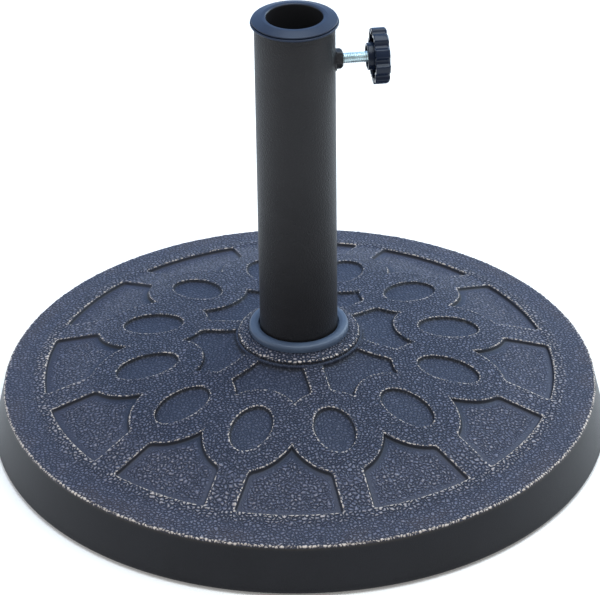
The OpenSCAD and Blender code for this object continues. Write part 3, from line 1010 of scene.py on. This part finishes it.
def knob():
    """Lobed knob: a thin skirt that is open towards the tube, and a hub with a recessed face."""
    face = KNOB_OUT_X - KNOB_X
    bore, recess_r, hub_r, seat_r, skirt_r = SCREW_R + 0.02, 7.8, 9.6, 13.0, KNOB_R - 2.4
    recess_x, skirt_x, web_x, seat_x = 5, 3.8, face - 3.6, face - 1.2
    corners = [(bore, recess_x, 0), (recess_r, recess_x, 0.4), (recess_r, 0, 0.35), (hub_r, 0, 0.8),
               (hub_r, web_x, 1.0), (skirt_r, web_x, 1.2), (skirt_r, skirt_x, 0.5), (KNOB_R, skirt_x, 0.7),
               (KNOB_R, face, 2.0), (14.4, face, 0.3), (seat_r, face - 0.25, 0.3), (seat_r, seat_x, 0.2),
               (bore, seat_x, 0)]
    outline = rounded(corners, 6)
    lobed = [smoothstep(10.5, 17, r) if z > 2 else 0.0 for r, z in outline]
    lobe_pitch, notch_half, notch_depth, crown_drop = 2 * math.pi / LOBES, math.radians(10.5), 2.3, 0.35

    def shaped(i, r, angles):
        turn = (angles - math.pi - NOTCH_PHASE) % lobe_pitch
        turn = np.minimum(turn, lobe_pitch - turn)
        notch = np.clip(1 - (turn / notch_half) ** 2, 0, None)
        valley = notch_depth * smoothstep(0, 1, notch)
        crown = crown_drop * (turn / (lobe_pitch / 2) - 1) ** 2
        return r - lobed[i] * (valley + crown)

    return along_screw(lathe("lobed_knob", outline, 240, shaped, 55), KNOB_X)


def knob_ribs():
    """Five thin ribs between the hub and the skirt, a little thinner at their open edge."""
    count, inner_r, outer_r, half_t, open_z, web_z = 5, 9.0, 18.2, 0.9, 5.4, KNOB_OUT_X - KNOB_X - 3.2
    box = [(0, 1, 3, 2), (4, 6, 7, 5), (0, 4, 5, 1), (2, 3, 7, 6), (0, 2, 6, 4), (1, 5, 7, 3)]
    points, faces = [], []
    for k in range(count):
        a = NOTCH_PHASE + math.pi + (k + 0.25) * 2 * math.pi / count
        out, across = Vector((math.cos(a), math.sin(a), 0)), Vector((-math.sin(a), math.cos(a), 0))
        faces += [tuple(len(points) + i for i in f) for f in box]
        for r in (inner_r, outer_r):
            for side in (-half_t, half_t):
                points.append(tuple(out * r + across * side * 0.75 + Vector((0, 0, open_z))))
                points.append(tuple(out * r + across * side + Vector((0, 0, web_z))))
    return along_screw(new_object("knob_ribs", points, faces, 30), KNOB_X)


def knob_cover():
    """Slightly domed disc on the knob's outer face."""
    back = low_end("knob_cover", "x")
    height = high_end("knob_cover", "x") - back
    radius, edge_h, dome_fall = 12.9, 1.1, 1.6
    turns = np.linspace(0.02, 1.25, 9)
    dome = [(radius * math.sin(t), height - dome_fall * (1 - math.cos(t))) for t in turns]
    outline = [(0.02, 0), (radius - 0.2, 0), (radius, 0.2), (radius, edge_h)] + dome[::-1]
    return along_screw(lathe("knob_disc", outline, 120, sharp_degrees=50), back)


# ---------------------------------------------------------------- assembly
make_camera()
make_room()
for softbox in SOFTBOXES:
    add_softbox(*softbox)
make_floor()

resin = cast_resin()
coat = powder_coat()
cap_plastic = moulded_plastic("cap_plastic_material", (0.013, 0.020, 0.040), (0.016, 0.025, 0.048),
                              0.38, 0.28, bore_shade_within=HOLE_R + 0.2)
collar_plastic = moulded_plastic("collar_plastic_material", (0.052, 0.073, 0.114), (0.062, 0.087, 0.132),
                                 0.40, 0.42)
knob_plastic = moulded_plastic("knob_plastic_material", (0.005, 0.010, 0.024), (0.008, 0.014, 0.031),
                               0.24, 0.26)
bright_zinc = zinc("bright_zinc_material", (0.80, 0.98, 1.0), 0.34)
hardware_zinc = zinc("hardware_zinc_material", (0.60, 0.61, 0.62), 0.38)

PIECES = [
    # function, body it rides on, material, slot, CAD nodes it stands for
    (base_casting, "base", resin, "cast_resin", ["base_shell"]),
    (pole_tube, "base", coat, "tube_powder_coat", ["pole_tube"]),
    (collar, "base", collar_plastic, "collar_plastic", ["collar_ring"]),
    (cap, "base", cap_plastic, "cap_plastic", ["top_cap"]),
    (weld_nut, "base", coat, "tube_powder_coat", ["weld_nut"]),
    (weld_bead, "base", coat, "tube_powder_coat", []),
    (clamp_screw, "knob", bright_zinc, "screw_zinc", ["clamp_screw"]),
    (knob, "knob", knob_plastic, "knob_plastic", ["knob_body"]),
    (knob_ribs, "knob", knob_plastic, "knob_plastic", []),
    (knob_cover, "knob", knob_plastic, "knob_plastic", ["knob_cover"]),
]
for make, body, material, slot, nodes in PIECES:
    piece = dress(make(), material)
    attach(piece, body)
    if nodes:
        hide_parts(*nodes)

# CAD nodes that show as they are
CARRIED = {
    "ballast_core": concrete(),
    "pole_guide": cap_plastic,
    "tube_foot_plate": coat,
    "clamp_pad": nylon(),
    "foot_plate_nut": hardware_zinc,
    "anchor_bolt": hardware_zinc,
    "anchor_washer": hardware_zinc,
    "anchor_spring_washer": hardware_zinc,
}
foot_rubber = rubber()
CARRIED.update({f"foot_{i}": foot_rubber for i in range(1, 7)})
for node, material in CARRIED.items():
    frame["nodes"][node].data.materials.clear()
    frame["nodes"][node].data.materials.append(material)
